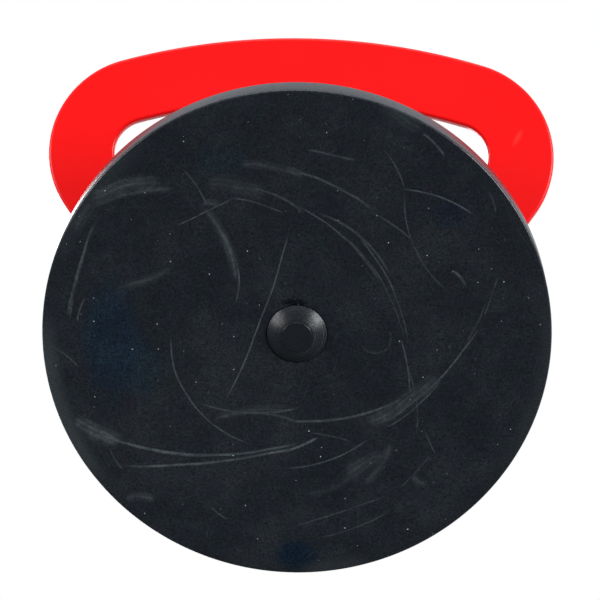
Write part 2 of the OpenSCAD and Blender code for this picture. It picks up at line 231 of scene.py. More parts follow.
# ---------------------------------------------------------------- material helpers
class Graph:
    """A material's nodes. Coordinates are the object's own, in mm."""

    def __init__(self, name):
        self.material = bpy.data.materials.new(name)
        self.material.use_nodes = True
        self.nt = self.material.node_tree
        self.nt.nodes.clear()
        self.shader = self.nt.nodes.new("ShaderNodeBsdfPrincipled")
        out = self.nt.nodes.new("ShaderNodeOutputMaterial")
        self.link(self.shader.outputs["BSDF"], out.inputs["Surface"])
        coord = self.nt.nodes.new("ShaderNodeTexCoord")
        self.p = self.vec("SCALE", coord.outputs["Object"], scale=1 / MM)

    def link(self, a, b):
        self.nt.links.new(a, b)

    def put(self, socket, value):
        if isinstance(value, bpy.types.NodeSocket):
            self.link(value, socket)
        elif value is not None:
            is_rgb = isinstance(value, (tuple, list)) and len(value) == 3
            if is_rgb and len(socket.default_value) == 4:
                value = (*value, 1.0)
            socket.default_value = value

    def set(self, **values):
        for key, value in values.items():
            self.put(self.shader.inputs[key.replace("_", " ")], value)

    def math(self, op, a, b=None, c=None, clamp=False):
        n = self.nt.nodes.new("ShaderNodeMath")
        n.operation, n.use_clamp = op, clamp
        for i, v in enumerate((a, b, c)):
            if v is not None:
                self.put(n.inputs[i], v)
        return n.outputs[0]

    def times(self, a, b):
        return self.math("MULTIPLY", a, b)

    def vec(self, op, a, b=None, c=None, scale=None):
        n = self.nt.nodes.new("ShaderNodeVectorMath")
        n.operation = op
        for i, v in enumerate((a, b, c)):
            if v is not None:
                self.put(n.inputs[i], v)
        if scale is not None:
            self.put(n.inputs["Scale"], scale)
        return n.outputs["Value" if op in ("DISTANCE", "LENGTH", "DOT_PRODUCT") else "Vector"]

    def split(self, v):
        n = self.nt.nodes.new("ShaderNodeSeparateXYZ")
        self.link(v, n.inputs[0])
        return n.outputs

    def join(self, x, y, z):
        n = self.nt.nodes.new("ShaderNodeCombineXYZ")
        for i, v in enumerate((x, y, z)):
            self.put(n.inputs[i], v)
        return n.outputs[0]

    def noise(self, scale, detail=3.0, rough=0.55, at=None, color=False):
        n = self.nt.nodes.new("ShaderNodeTexNoise")
        self.put(n.inputs["Vector"], at or self.p)
        self.put(n.inputs["Scale"], scale)
        self.put(n.inputs["Detail"], detail)
        self.put(n.inputs["Roughness"], rough)
        return n.outputs["Color" if color else "Fac"]

    def cells(self, scale, at=None, flat=False):
        n = self.nt.nodes.new("ShaderNodeTexVoronoi")
        n.voronoi_dimensions = "2D" if flat else "3D"
        self.put(n.inputs["Vector"], at or self.p)
        self.put(n.inputs["Scale"], scale)
        return n

    def ramp(self, v, lo, hi, a=0.0, b=1.0):
        """a where v is below lo, b where it is above hi, and a smooth step between."""
        n = self.nt.nodes.new("ShaderNodeMapRange")
        n.interpolation_type = "SMOOTHSTEP"
        given = {"Value": v, "From Min": lo, "From Max": hi, "To Min": a, "To Max": b}
        for key, x in given.items():
            self.put(n.inputs[key], x)
        return n.outputs["Result"]

    def mix(self, fac, a, b):
        n = self.nt.nodes.new("ShaderNodeMix")
        n.data_type = "RGBA"
        color_a, color_b, color_out = n.inputs[6], n.inputs[7], n.outputs[2]
        self.put(n.inputs["Factor"], fac)
        self.put(color_a, a)
        self.put(color_b, b)
        return color_out

    def stretch(self, sx, sy, sz):
        return self.vec("MULTIPLY", self.p, (sx, sy, sz))

    def turned(self, degrees, along, across, seed=0.0):
        """Coordinates in the plane of the face, turned about Z and scaled along and across."""
        c, s = math.cos(math.radians(degrees)), math.sin(math.radians(degrees))
        u = self.vec("DOT_PRODUCT", self.p, (c * along, s * along, 0))
        v = self.vec("DOT_PRODUCT", self.p, (-s * across, c * across, 0))
        return self.join(u, v, seed)

    def bump(self, height, strength, distance=0.05):
        n = self.nt.nodes.new("ShaderNodeBump")
        self.put(n.inputs["Strength"], strength)
        self.put(n.inputs["Distance"], distance * MM)
        self.put(n.inputs["Height"], height)
        self.link(n.outputs[0], self.shader.inputs["Normal"])

    def polar(self, turns=1.0, rings=1.0):
        """Coordinates that run round and out from the Z axis, for marks that follow circles."""
        x, y = self.split(self.p)[:2]
        square = self.math("ADD", self.times(x, x), self.times(y, y))
        r = self.math("SQRT", square)
        u = self.math("DIVIDE", x, self.math("MAXIMUM", r, 0.01))
        v = self.math("DIVIDE", y, self.math("MAXIMUM", r, 0.01))
        round_x, round_y = self.times(u, turns), self.times(v, turns)
        return self.join(round_x, round_y, self.times(r, rings)), r


def circle_through(a, b, c):
    """Centre and radius of the circle through three points."""
    ax, ay, bx, by, cx, cy = *a, *b, *c
    d = 2 * (ax * (by - cy) + bx * (cy - ay) + cx * (ay - by))
    sa, sb, sc = ax * ax + ay * ay, bx * bx + by * by, cx * cx + cy * cy
    ux = (sa * (by - cy) + sb * (cy - ay) + sc * (ay - by)) / d
    uy = (sa * (cx - bx) + sb * (ax - cx) + sc * (bx - ax)) / d
    return (ux, uy), math.hypot(ax - ux, ay - uy)


# Marks rubbed into the running face: a strength, and the arc's start, middle and end, in whole mm from
# the middle of the face. RUBBED groups them by half width, in mm.
HAIRLINES = [
    (1.0, (4, 42), (12, 12), (28, -28)),
    (0.7, (45, 68), (39, 60), (35, 52)),
    (1.0, (24, 28), (23, 21), (24, 13)),
    (0.7, (48, 44), (36, 50), (25, 56)),
    (0.7, (26, 56), (16, 54), (6, 50)),
    (0.8, (50, 0), (42, -28), (18, -46)),
    (0.7, (3, 54), (-15, 43), (-32, 22)),
    (0.7, (-21, 44), (-36, 22), (-44, -2)),
    (0.6, (-17, 42), (-32, 24), (-42, 0)),
    (1.1, (-40, 61), (-55, 58), (-68, 51)),
    (0.7, (-32, 77), (-37, 70), (-41, 61)),
    (0.6, (-41, 61), (-44, 40), (-58, 20)),
    (0.6, (-29, 51), (-38, 45), (-45, 39)),
    (0.8, (-41, -1), (-44, -12), (-45, -22)),
    (0.5, (-44, -13), (-48, -28), (-48, -42)),
    (0.9, (3, -56), (-14, -52), (-29, -43)),
    (0.9, (-36, -38), (-49, -28), (-57, -17)),
    (0.9, (-36, -36), (-58, -15), (-71, 5)),
    (0.5, (-42, -63), (-48, -57), (-54, -49)),
    (0.5, (-51, -38), (-53, -43), (-56, -49)),
    (0.5, (0, -80), (-18, -74), (-36, -67)),
    (0.5, (-11, -84), (-25, -80), (-38, -73)),
    (0.5, (-6, -41), (-14, -42), (-22, -44)),
    (0.8, (-73, 61), (-75, 57), (-76, 52)),
    (0.5, (-78, 26), (-76, 18), (-73, 10)),
    (0.5, (-74, 16), (-70, 6), (-66, -2)),
    (0.7, (83, 15), (85, 10), (86, 5)),
    (0.6, (74, -47), (72, -52), (68, -57)),
    (0.6, (98, -4), (92, -8), (86, -14)),
    (0.7, (77, -42), (56, -49), (30, -51)),
    (0.5, (34, -72), (31, -75), (27, -78)),
]
LINES = [
    (0.8, (79, 45), (85, 28), (90, 8)),
    (0.5, (83, 33), (87, 19), (89, 6)),
    (0.8, (19, 60), (8, 57), (-2, 50)),
    (0.8, (3, 67), (-10, 63), (-30, 51)),
    (0.6, (-8, 50), (-23, 42), (-36, 25)),
    (0.6, (-3, 76), (-12, 74), (-22, 72)),
    (0.8, (-47, 84), (-51, 81), (-56, 75)),
    (1.1, (82, -40), (46, -50), (-2, -45)),
    (1.1, (69, -55), (37, -54), (-2, -47)),
    (0.8, (38, -29), (19, -33), (-2, -30)),
    (0.6, (33, -36), (18, -33), (-2, -37)),
    (1.0, (3, -36), (-21, -34), (-44, -25)),
    (1.1, (4, -49), (-3, -46), (-9, -43)),
    (0.8, (-60, 28), (-64, 25), (-66, 22)),
]
SMEARS = [
    (0.6, (80, 52), (65, 58), (48, 60)),
    (0.9, (36, 52), (28, 38), (24, 22)),
    (0.6, (23, 70), (10, 69), (-2, 65)),
    (0.6, (37, 54), (34, 54), (30, 53)),
    (0.5, (72, 18), (59, 22), (49, 27)),
    (0.5, (32, -35), (19, -32), (3, -31)),
    (0.6, (68, -69), (62, -68), (56, -69)),
    (0.5, (-28, -62), (-34, -54), (-38, -44)),
    (0.5, (-47, -58), (-50, -61), (-52, -62)),
    (0.3, (-4, -67), (-15, -64), (-25, -56)),
]
BROAD_SMEARS = [
    (0.7, (81, 54), (67, 61), (52, 62)),
    (0.4, (88, 40), (83, 50), (74, 60)),
    (0.5, (36, 63), (24, 61), (12, 57)),
    (1.0, (88, -35), (79, -41), (69, -45)),
    (0.7, (-28, -37), (-41, -29), (-56, -16)),
    (0.5, (-21, -59), (-29, -52), (-36, -50)),
    (0.3, (-31, 95), (-38, 90), (-47, 85)),
]
RUBBED = {0.5: HAIRLINES, 0.8: LINES, 2.5: SMEARS, 5.0: BROAD_SMEARS}
# Soft patches on the face: centre, radii, tint and strength. The last is painted shade: a near-black crescent just
# above the centre cap
PATCHES = [
    ((73, -4), (14, 30), (0.000, 0.013, 0.032), 0.6),
    ((60, -14), (9, 16), (0.000, 0.014, 0.030), 0.4),
    ((-58, 51), (8, 8), (0.002, 0.008, 0.026), 0.45),
    ((-1, -92), (10, 8), (0.000, 0.0075, 0.021), 0.9),
    ((30, 72), (14, 8), (0.002, 0.014, 0.024), 0.4),
    # painted shade: the near-black crescent above the centre cap
    ((1.0, 13.1), (6.5, 1.8), (0.000, 0.001, 0.002), 1.0),
]
# Where the rim is worn: direction, cosines of the angles where it starts and is full, strength
WORN_RIM = [
    ((0.955, -0.296), 0.90, 0.985, 0.55),
    ((0.82, 0.57), 0.93, 0.99, 0.20),
    ((-0.17, -0.985), 0.985, 0.998, 0.30),
    ((-0.98, -0.20), 0.88, 0.99, 0.20),
]
# A ring left by the mould: its centre and radius, and the direction in which it shows most
MOULD_RING, MOULD_RING_R, MOULD_RING_SIDE = (-31, -1.2, 0), 6.0, (-0.08, -0.14, 0)

SCUFFED = (0.105, 0.130, 0.138)
DUST = (0.62, 0.66, 0.66)
DEEP_BLACK, SOFT_BLACK = (0.0058, 0.0088, 0.0128), (0.0088, 0.0115, 0.0150)
WARM_TINGE, GREEN_TINGE = (0.0098, 0.0105, 0.0175), (0.0066, 0.0135, 0.0130)


def scuff_marks(g, at):
    """How strongly each place on the face is rubbed. Wide marks are streaked along their length."""
    speckle = g.ramp(g.noise(1.3, 6.0, 0.8), 0.36, 0.62, 0.30, 1.0)
    patchy = g.ramp(g.noise(0.14, 3.0, 0.6), 0.36, 0.60, 0.50, 1.0)
    drift = g.times(g.noise(0.045, 2.0), 18.0)
    batch, hairsbreadth, wide = 8, 1e-6, 1.0
    total = None
    arcs = [(width, *arc) for width, group in RUBBED.items() for arc in group]
    for i, (width, strength, a, b, c) in enumerate(arcs):
        if i % batch == batch - 1:
            # a hairsbreadth of the total so far makes the renderer finish one batch before the
            # next, or the shader outgrows its stack and the disc comes out black
            at = g.vec("MULTIPLY_ADD", total, (hairsbreadth,) * 3, at)
        centre, radius = circle_through(a, b, c)
        off = g.math("SUBTRACT", g.vec("DISTANCE", at, (*centre, 0)), radius)
        line = g.ramp(g.math("ABSOLUTE", off), 0.0, width, strength, 0.0)
        if width > wide:
            coarse = g.math("SINE", g.math("MULTIPLY_ADD", off, 3.1, drift))
            fine = g.math("SINE", g.math("MULTIPLY_ADD", off, 7.7, drift))
            streaks = g.math("MULTIPLY_ADD", g.math("ADD", coarse, fine), 0.20, 0.70)
            line = g.times(line, streaks)
        middle = ((a[0] + c[0]) / 2, (a[1] + c[1]) / 2)
        reach = math.dist(a, c) / 2
        if math.dist(b, middle) > 0.35 * reach:
            middle, reach = b, math.dist(a, b)
        away = g.vec("DISTANCE", at, (*middle, 0))
        near = g.ramp(away, reach * 0.70, reach * 1.08, 1.0, 0.0)
        mark = g.times(line, near)
        total = mark if total is None else g.math("MAXIMUM", total, mark)
    return g.times(total, g.times(speckle, patchy))


def disc_gloss():
    g = Graph("disc_gloss")
    polar, r = g.polar(turns=2.0, rings=0.9)
    height = g.split(g.p)[2]
    face = g.ramp(height, DISH_H + 0.6, DISH_H + 1.4, 1.0, 0.0)
    wander = g.vec("SUBTRACT", g.noise(0.035, 2.0, color=True), (0.5, 0.5, 0.5))
    flat = g.vec("MULTIPLY", g.vec("ADD", g.p, g.vec("SCALE", wander, scale=2.2)), (1, 1, 0))
    grainy = g.noise(1.2, 6.0, 0.85)
    grit = g.noise(0.8, 6.0, 0.85)
    patchy = g.noise(0.045, 4.0, 0.65)
    marks = [scuff_marks(g, flat)]
    # hair scratches in four directions, denser in some places
    for turn, seed in ((12, 0.0), (58, 31.0), (103, 67.0), (151, 95.0)):
        hair = g.noise(0.5, 6.0, 0.8, at=g.turned(turn, 0.16, 3.8, seed))
        where = g.ramp(g.noise(0.05, 2.0, 0.5, at=g.turned(turn, 1.0, 1.0, seed)), 0.42, 0.60)
        marks.append(g.times(g.ramp(hair, 0.59, 0.70, 0.0, 0.40), where))
    # rubbing that follows the stone's turning
    fine = g.ramp(g.noise(3.0, 6.0, 0.75, at=polar), 0.60, 0.80, 0.0, 0.18)
    marks.append(g.times(fine, g.ramp(patchy, 0.48, 0.62)))
    # haze, in grains
    haze = g.ramp(patchy, 0.42, 0.66, 0.0, 0.13)
    marks.append(g.times(haze, g.ramp(grainy, 0.34, 0.66)))
    # pale grit in clusters
    points = g.ramp(g.noise(1.9, 2.0, 0.5), 0.64, 0.74, 0.0, 0.40)
    clusters = g.ramp(g.noise(0.07, 3.0, 0.6), 0.44, 0.62)
    marks.append(g.times(points, clusters))
    # the mould's ring
    off = g.math("SUBTRACT", g.vec("DISTANCE", flat, MOULD_RING), MOULD_RING_R)
    ring = g.ramp(g.math("ABSOLUTE", off), 0.1, 0.7, 0.20, 0.0)
    side = g.vec("DOT_PRODUCT", g.vec("SUBTRACT", flat, MOULD_RING), MOULD_RING_SIDE)
    ring = g.times(ring, g.ramp(side, -0.4, 0.8, 0.15, 1.0))
    marks.append(g.times(ring, g.ramp(grainy, 0.35, 0.6, 0.3, 1.0)))
    # the rim, worn in places
    across = g.ramp(g.math("MULTIPLY_ADD", patchy, 7.0, r), DISC_R - 5.0, DISC_R + 2.5)
    for (dx, dy), lo, hi, strength in WORN_RIM:
        along = g.vec("DOT_PRODUCT", g.p, (dx, dy, 0))
        along = g.math("DIVIDE", along, g.math("MAXIMUM", r, 1.0))
        worn = g.times(across, g.ramp(along, lo, hi, 0.0, strength))
        marks.append(g.times(worn, grainy))
    scuff = marks[0]
    for mark in marks[1:]:
        scuff = g.math("MAXIMUM", scuff, mark)
    scuff = g.math("MULTIPLY", scuff, face, clamp=True)
    base = g.mix(g.ramp(g.noise(0.02, 4.0, 0.6), 0.35, 0.65), DEEP_BLACK, SOFT_BLACK)
    base = g.mix(g.ramp(g.noise(0.13, 3.0, 0.6), 0.40, 0.66, 0.0, 0.5), base, WARM_TINGE)
    base = g.mix(g.ramp(g.noise(0.16, 3.0, 0.6), 0.46, 0.68, 0.0, 0.5), base, GREEN_TINGE)
    # the patches tint the face; the last one is painted shade, a dark crescent above the centre cap
    patch_tint_and_shade = None
    for (cx, cy), (rx, ry), tint, strength in PATCHES:
        off = g.vec("SUBTRACT", flat, (cx, cy, 0))
        d = g.vec("LENGTH", g.vec("MULTIPLY", off, (1 / rx, 1 / ry, 0)))
        broken = g.ramp(patchy, 0.35, 0.6, 0.5, 1.0)
        fac = g.times(g.ramp(d, 0.45, 1.1, strength, 0.0), broken)
        base = g.mix(fac, base, tint)
        patch_tint_and_shade = fac if patch_tint_and_shade is None else g.math("MAXIMUM", patch_tint_and_shade, fac)
    base = g.vec("SCALE", base, scale=g.ramp(grainy, 0.34, 0.66, 0.30, 2.0))
    tone = g.mix(scuff, base, SCUFFED)
    dust = g.cells(0.2, at=g.vec("MULTIPLY", g.p, (1, 1, 0)), flat=True)
    seed = g.split(dust.outputs["Color"])
    speck = g.math("LESS_THAN", dust.outputs["Distance"], g.ramp(seed[1], 0.0, 1.0, 0.02, 0.048))
    speck = g.times(speck, g.ramp(seed[0], 0.88, 0.90))
    speck = g.times(speck, g.ramp(seed[2], 0.0, 1.0, 0.15, 1.0))
    tone = g.mix(g.times(speck, face), tone, DUST)
    uneven = g.times(g.noise(0.25, 4.0), 0.08)
    rough = g.math("ADD", g.ramp(scuff, 0.0, 0.5, 0.2, 0.55), uneven)
    # the patches lower the shine, which deepens the painted shade of the crescent
    shine = g.math("MULTIPLY_ADD", patch_tint_and_shade, -0.30, 0.40)
    shine = g.times(shine, g.ramp(grit, 0.34, 0.66, 0.50, 1.45))
    g.set(Base_Color=tone, Roughness=rough, Specular_IOR_Level=shine)
    # the bump leaves the scuffs out, or the shader outgrows its stack
    fine_relief = g.times(g.noise(1.6, 4.0, 0.7), 0.12)
    g.bump(g.math("ADD", fine_relief, g.noise(0.11, 2.0)), 0.35, 0.03)
    return g.material


def cap_plastic():
    g = Graph("cap_plastic")
    polar, r = g.polar(turns=3.0, rings=4.0)
    rings = g.noise(1.4, 2.0, 0.5, at=g.join(0.0, 0.0, g.times(r, 1.6)))
    lines = g.noise(1.6, 3.0, 0.6, at=polar)
    mottle = g.noise(1.5, 5.0, 0.7)
    tone = g.mix(g.ramp(mottle, 0.3, 0.7), (0.0030, 0.0060, 0.0090), (0.0070, 0.0105, 0.0140))
    tone = g.mix(g.ramp(lines, 0.56, 0.76, 0.0, 0.22), tone, (0.07, 0.09, 0.10))
    # turning ridges on the flank with painted highlights along them, stronger on one side
    side = g.vec("DOT_PRODUCT", g.p, (-0.92, -0.40, 0))
    side = g.math("DIVIDE", side, g.math("MAXIMUM", r, 0.5))
    turned = g.ramp(rings, 0.50, 0.60, 0.0, 0.8)
    turned = g.times(turned, g.ramp(side, -0.2, 0.8, 0.15, 1.0))
    turned = g.times(turned, g.ramp(r, CAP_TIP_R - 0.4, CAP_TIP_R + 0.2))
    turned = g.times(turned, g.ramp(mottle, 0.3, 0.6, 0.3, 1.0))
    # the ridges' painted highlights: a paler tone along the rings
    tone = g.mix(turned, tone, (0.085, 0.105, 0.115))
    rough = g.ramp(mottle, 0.25, 0.75, 0.18, 0.46)
    rough = g.math("ADD", rough, g.times(lines, 0.06))
    g.set(Base_Color=tone, Roughness=rough, Specular_IOR_Level=0.4)
    relief = g.times(g.math("ADD", lines, mottle), 0.35)
    g.bump(g.math("ADD", g.times(rings, 1.4), relief), 0.8, 0.09)
    return g.material


def shell_plastic():
    g = Graph("shell_plastic")
    grain = g.noise(1.1, 5.0, 0.7)
    soft = g.noise(0.03, 3.0, 0.6)
    polar = g.polar(turns=3.0, rings=1.0)[0]
    rub = g.ramp(g.noise(2.0, 6.0, 0.75, at=polar), 0.54, 0.74, 0.0, 0.55)
    rub = g.times(rub, g.ramp(soft, 0.40, 0.58, 0.15, 1.0))
    around = g.noise(0.30, 6.0, 0.75, at=g.stretch(0.12, 0.12, 5.0))
    mark = g.math("MAXIMUM", rub, g.ramp(around, 0.60, 0.70, 0.0, 0.45))
    for turn, seed in ((24, 11.0), (81, 43.0), (137, 79.0)):
        hair = g.noise(0.22, 5.0, 0.75, at=g.turned(turn, 0.16, 4.0, seed))
        hair = g.ramp(hair, 0.63, 0.70, 0.0, 0.8)
        where = g.ramp(g.noise(0.04, 2.0, 0.5, at=g.turned(turn, 1.0, 1.0, seed)), 0.44, 0.60)
        mark = g.math("MAXIMUM", mark, g.times(hair, where))
    tone = g.mix(g.ramp(soft, 0.35, 0.65), (0.0105, 0.0125, 0.0155), (0.0175, 0.0195, 0.0225))
    tone = g.vec("SCALE", tone, scale=g.ramp(grain, 0.34, 0.66, 0.55, 1.5))
    tone = g.mix(mark, tone, (0.11, 0.12, 0.125))
    g.set(
        Base_Color=tone,
        Roughness=g.math("ADD", g.ramp(soft, 0.3, 0.7, 0.27, 0.42), g.times(mark, 0.3)),
        Specular_IOR_Level=g.ramp(grain, 0.34, 0.66, 0.36, 0.64),
    )
    g.bump(g.math("ADD", grain, g.times(soft, 2.0)), 0.35, 0.06)
    return g.material


def red_plastic(name, light, dark, wear):
    """Satin red plastic between two tones, with hair scratches of the given strength."""
    g = Graph(name)
    scratched, scraped = (0.95, 0.10, 0.08), (0.98, 0.30, 0.26)
    soft = g.noise(0.018, 3.0, 0.55)
    peel = g.noise(0.55, 3.0, 0.5)
    grain = g.noise(4.0, 3.0, 0.6)
    hair_a = g.ramp(g.noise(0.30, 8.0, 0.8, at=g.stretch(0.3, 3.2, 3.2)), 0.665, 0.72, 0.0, 0.5)
    hair_b = g.ramp(g.noise(0.35, 8.0, 0.8, at=g.stretch(3.0, 0.5, 0.5)), 0.675, 0.73, 0.0, 0.5)
    hair = g.math("MAXIMUM", hair_a, hair_b)
    tone = g.mix(g.ramp(soft, 0.35, 0.65), light, dark)
    tone = g.mix(g.times(g.ramp(peel, 0.3, 0.7), 0.12), tone, dark)
    tone = g.mix(g.times(hair, wear), tone, scratched)
    # a rubbed place on one corner of the loop, longer than it is wide
    (px, py), (ux, uy), half_long, half_wide = (-89.2, 59.5), (-0.52, 0.85), 4.2, 1.4
    off = g.vec("SUBTRACT", g.p, (px, py, 0.0))
    along = g.vec("DOT_PRODUCT", off, (ux / half_long, uy / half_long, 0.0))
    across = g.vec("DOT_PRODUCT", off, (uy / half_wide, -ux / half_wide, 0.0))
    spot = g.ramp(g.vec("LENGTH", g.join(along, across, 0.0)), 0.3, 1.1, 0.08, 0.0)
    scrape = g.times(spot, g.ramp(grain, 0.35, 0.60, 0.4, 1.0))
    tone = g.mix(scrape, tone, scraped)
    rough = g.ramp(soft, 0.3, 0.7, 0.27, 0.34)
    rough = g.math("ADD", rough, g.times(hair, 0.2))
    g.set(Base_Color=tone, Roughness=rough, Specular_IOR_Level=0.3)
    relief = g.math("ADD", g.times(peel, 0.8), g.times(grain, 0.3))
    g.bump(relief, 0.18, 0.05)
    return g.material


def plated(name, bright, dull, rough):
    """Brushed metal between two tones, of at least the given roughness."""
    g = Graph(name)
    brush = g.noise(1.2, 5.0, 0.7, at=g.stretch(0.5, 6.0, 6.0))
    stain = g.noise(0.12, 5.0, 0.65)
    grain = g.noise(5.0, 3.0, 0.6)
    tone = g.mix(g.ramp(stain, 0.38, 0.68), bright, dull)
    tone = g.mix(g.times(g.ramp(brush, 0.4, 0.7), 0.25), tone, (0.82, 0.82, 0.80))
    rough = g.ramp(brush, 0.2, 0.8, rough, rough + 0.14)
    rough = g.math("ADD", rough, g.times(stain, 0.06))
    g.set(Base_Color=tone, Metallic=1.0, Roughness=rough)
    relief = g.math("ADD", g.times(brush, 0.6), g.times(grain, 0.4))
    g.bump(relief, 0.2, 0.03)
    return g.material


def ballast_iron():
    g = Graph("ballast_iron")
    pits = g.cells(1.1).outputs["Distance"]
    scale = g.noise(0.35, 6.0, 0.7)
    rust = g.ramp(g.noise(0.08, 6.0, 0.7), 0.52, 0.70)
    tone = g.mix(g.ramp(scale, 0.3, 0.7), (0.09, 0.09, 0.092), (0.17, 0.165, 0.16))
    tone = g.mix(g.times(rust, 0.6), tone, (0.17, 0.07, 0.03))
    g.set(
        Base_Color=tone,
        Metallic=g.ramp(rust, 0.0, 1.0, 0.8, 0.1),
        Roughness=g.ramp(scale, 0.2, 0.8, 0.5, 0.75),
    )
    g.bump(g.math("ADD", pits, scale), 0.5, 0.25)
    return g.material


def insert_brass():
    g = Graph("insert_brass")
    turned = g.noise(2.0, 3.0, 0.5, at=g.stretch(0.4, 0.4, 9.0))
    dull = g.noise(0.5, 4.0, 0.6)
    tone = g.mix(g.ramp(dull, 0.35, 0.7), (0.72, 0.50, 0.20), (0.48, 0.32, 0.13))
    g.set(Base_Color=tone, Metallic=1.0, Roughness=g.ramp(turned, 0.2, 0.8, 0.24, 0.42))
    g.bump(turned, 0.3, 0.04)
    return g.material


def rubber_black():
    g = Graph("rubber_black")
    grain = g.noise(3.2, 5.0, 0.7)
    bloom = g.noise(0.25, 5.0, 0.7)
    tone = g.mix(g.ramp(bloom, 0.45, 0.75), (0.018, 0.018, 0.019), (0.055, 0.055, 0.056))
    g.set(
        Base_Color=tone,
        Roughness=g.ramp(grain, 0.2, 0.8, 0.62, 0.85),
        Specular_IOR_Level=0.3,
    )
    g.bump(grain, 0.4, 0.06)
    return g.material


def bush_nylon():
    g = Graph("bush_nylon")
    turned = g.noise(1.5, 3.0, 0.5, at=g.stretch(8.0, 0.4, 0.4))
    soil = g.noise(0.7, 5.0, 0.65)
    tone = g.mix(g.ramp(soil, 0.5, 0.8), (0.74, 0.71, 0.63), (0.42, 0.40, 0.35))
    g.set(
        Base_Color=tone,
        Roughness=g.ramp(turned, 0.2, 0.8, 0.38, 0.55),
        Subsurface_Weight=0.08,
        Subsurface_Radius=(0.0008, 0.0007, 0.0005),
    )
    g.bump(turned, 0.25, 0.04)
    return g.material


HANDLE_REDS = (0.985, 0.0040, 0.0042), (0.93, 0.0034, 0.0036)
CAP_REDS = (0.80, 0.0080, 0.0080), (0.68, 0.0060, 0.0060)
ZINC_GREYS = (0.62, 0.63, 0.64), (0.47, 0.475, 0.46)
SPRING_GREYS = (0.34, 0.34, 0.35), (0.22, 0.21, 0.20)
MATERIALS = {
    "disc_gloss": disc_gloss(),
    "cap_plastic": cap_plastic(),
    "shell_plastic": shell_plastic(),
    "handle_red": red_plastic("handle_red", *HANDLE_REDS, wear=0.14),
    "cap_red": red_plastic("cap_red", *CAP_REDS, wear=0.45),
    "zinc_steel": plated("zinc_steel", *ZINC_GREYS, rough=0.24),
    "spring_steel": plated("spring_steel", *SPRING_GREYS, rough=0.3),
    "ballast_iron": ballast_iron(),
    "insert_brass": insert_brass(),
    "rubber_black": rubber_black(),
    "bush_nylon": bush_nylon(),
}
SLOT_OF = {s["node"]: s["material_slot"] for s in frame["record"]["subparts"]}
for node_name, node_obj in frame["nodes"].items():
    node_obj.data.materials.clear()
    node_obj.data.materials.append(MATERIALS[SLOT_OF[node_name]])


def build(name, solids, body, replaces, sharp=35.0):
    """A piece in the material of the CAD nodes that it stands for."""
    slot = SLOT_OF[replaces[0]]
    return piece(name, solids, MATERIALS[slot], body, replaces, sharp)


# ---------------------------------------------------------------- the stone's body
def dish_z(r):
    """Height of the dished face at radius r."""
    sphere = (DISH_R**2 + DISH_H**2) / (2 * DISH_H)
    return max(0.0, DISH_H - sphere + math.sqrt(sphere**2 - r**2))


def running_disc():
    n = 48
    radii = [SEAT_CHAMFER_R + (DISH_R - SEAT_CHAMFER_R) * k / n for k in range(n + 1)]
    lower = [(r, dish_z(r)) for r in radii[1:]]
    corners = rounded(
        [
            lower[-1],
            (DISC_R - DISC_EDGE, 0.0),
            (DISC_R, 0.0),
            (DISC_R, DISC_T),
            (POCKET_R, DISC_T),
            (POCKET_R, POCKET_Z),
            (HUB_R, POCKET_Z),
            (HUB_R, HUB_TOP),
            (BOLT_HOLE_R, HUB_TOP),
            (BOLT_HOLE_R, HEAD_SEAT_Z),
            (CAP_BORE_R, HEAD_SEAT_Z),
            (CAP_BORE_R, CAP_SEAT_Z),
            (CAP_SEAT_R, CAP_SEAT_Z),
            (CAP_SEAT_R, SEAT_CHAMFER_Z),
            (SEAT_CHAMFER_R, dish_z(SEAT_CHAMFER_R)),
            lower[0],
        ],
        [0, 0, DISC_EDGE, 0.6, 0.5, 0.5, 1.0, 0.6, 0.3, 0.3, 0.3, 0.3, 0.1, 0.2, 1.5, 0],
        steps=8,
        closed=False,
    )
    return spin(lower[:-1] + corners[:-1], steps=288, closed=True)


def centre_cap():
    flange_r = CAP_SEAT_R - CAP_FIT
    skirt = CAP_BORE_R - CAP_FIT
    foot_z = CAP_TIP_Z + TIP_STEP
    tip = rounded(
        [
            (0.0, CAP_TIP_Z),
            (CAP_TIP_R - 0.45, CAP_TIP_Z),
            (CAP_TIP_R - 0.25, foot_z),
            (CAP_TIP_R, foot_z),
        ],
        [0, 0.1, 0.05, 0],
        closed=False,
    )
    n = 24
    run = [(CAP_ROOT_R - CAP_TIP_R) * k / n for k in range(1, n + 1)]
    flank = [(CAP_TIP_R + s, foot_z + FLANK_SLOPE * s + FLANK_CURVE * s * s) for s in run]
    skirt_top = CAP_SEAT_Z + CAP_SKIRT_H
    inside = rounded(
        [
            flank[-1],
            (flange_r, DISH_H + 0.3),
            (flange_r, CAP_SEAT_Z),
            (skirt, CAP_SEAT_Z),
            (skirt, skirt_top),
            (skirt - CAP_SKIRT_WALL, skirt_top),
            (skirt - CAP_SKIRT_WALL, CAP_SEAT_Z),
            (0.0, CAP_SEAT_Z),
        ],
        [0, 0.2, 0.1, 0.1, 0.3, 0.3, 0.2, 0],
        closed=False,
    )
    return spin(tip + flank[:-1] + inside, steps=192)


def shell_side(off):
    """Top face, shoulder and skirt of the shell, from the axis out and down, set in by off."""
    r = SHOULDER_R - off
    cz = SHELL_TOP - SHOULDER_R
    shoulder = arc(SHELL_FLAT_R, cz, r, math.pi / 2, SKIRT_TAPER, 20)
    x, z = shoulder[-1]
    heights = (z * 0.6 + SKIRT_Z * 0.4, SKIRT_Z)
    foot = [(x + (z - h) * math.tan(SKIRT_TAPER), h) for h in heights]
    return shoulder, foot


